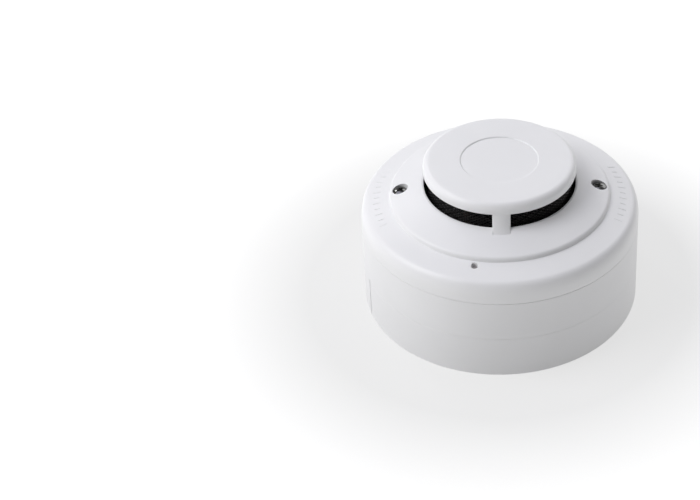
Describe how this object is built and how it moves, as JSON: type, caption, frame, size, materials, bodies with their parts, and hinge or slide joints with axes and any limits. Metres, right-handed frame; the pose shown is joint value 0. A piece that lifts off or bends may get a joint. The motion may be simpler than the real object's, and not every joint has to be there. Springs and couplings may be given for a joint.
{
  "type": "heat detector",
  "caption": "Round ceiling-mounted heat detector head with a legged sensing cap and screened inlet, twist-locked onto a terminal base and deep back box.",
  "frame": {"origin": "centre of the rear mounting face of the back box", "axes": "+Z along the round body's axis from the mounting surface towards the sensing cap; the front support leg of the cap points along -Y, the two cover screws lie along the X axis"},
  "size_m": [0.1052, 0.1052, 0.0588],
  "materials": {
    "white_housing": "satin moulded ABS",
    "white_base": "satin moulded ABS",
    "white_cover": "satin moulded ABS",
    "white_inner": "moulded, unpolished",
    "black_plastic": "light-absorbing moulded",
    "screen_mesh": "fine woven monofilament",
    "zinc_steel": "zinc plated",
    "dark_chrome": "polished, slightly dark",
    "spring_brass": "sprung strip",
    "board_green": "solder-resist coated glass fibre",
    "chip_black": "moulded epoxy",
    "capacitor_can": "drawn can",
    "clear_glass": "clear",
    "thermistor_bead": "epoxy-coated bead",
    "indicator_red": "diffused lens"
  },
  "bodies": {
    "base": {"back_box": "white_housing", "cable_entry_plate": "white_housing", "base_plate": "white_base", "base_screws": "zinc_steel", "wire_clamps": "zinc_steel", "terminal_screws": "zinc_steel", "contact_spring_1": "spring_brass", "contact_spring_2": "spring_brass", "contact_spring_3": "spring_brass", "contact_spring_4": "spring_brass"},
    "head": {"alarm_thyristor": "chip_black", "board_screws": "zinc_steel", "chamber_base": "black_plastic", "chamber_lid": "black_plastic", "chip_resistors": "chip_black", "circuit_board": "board_green", "contact_blade_1": "spring_brass", "contact_blade_2": "spring_brass", "contact_blade_3": "spring_brass", "contact_blade_4": "spring_brass", "controller_chip": "chip_black", "cover_screws": "dark_chrome", "head_chassis": "white_inner", "indicator_led": "indicator_red", "infrared_emitter": "clear_glass", "insect_screen": "screen_mesh", "labyrinth": "black_plastic", "light_pipe": "clear_glass", "outer_cover": "white_cover", "photodiode": "chip_black", "rectifier_bridge": "chip_black", "reference_thermistor": "thermistor_bead", "screen_frame": "black_plastic", "sensing_cap": "white_cover", "sensing_thermistor": "thermistor_bead", "smoothing_capacitors": "capacitor_can", "test_reed_switch": "clear_glass"}
  },
  "joints": [
    {"name": "head_twist", "type": "hinge", "parent": "base", "child": "head", "pos_m": [0, 0, 0.033], "axis": [0, 0, 1], "range_deg": [0, 20]}
  ]
}
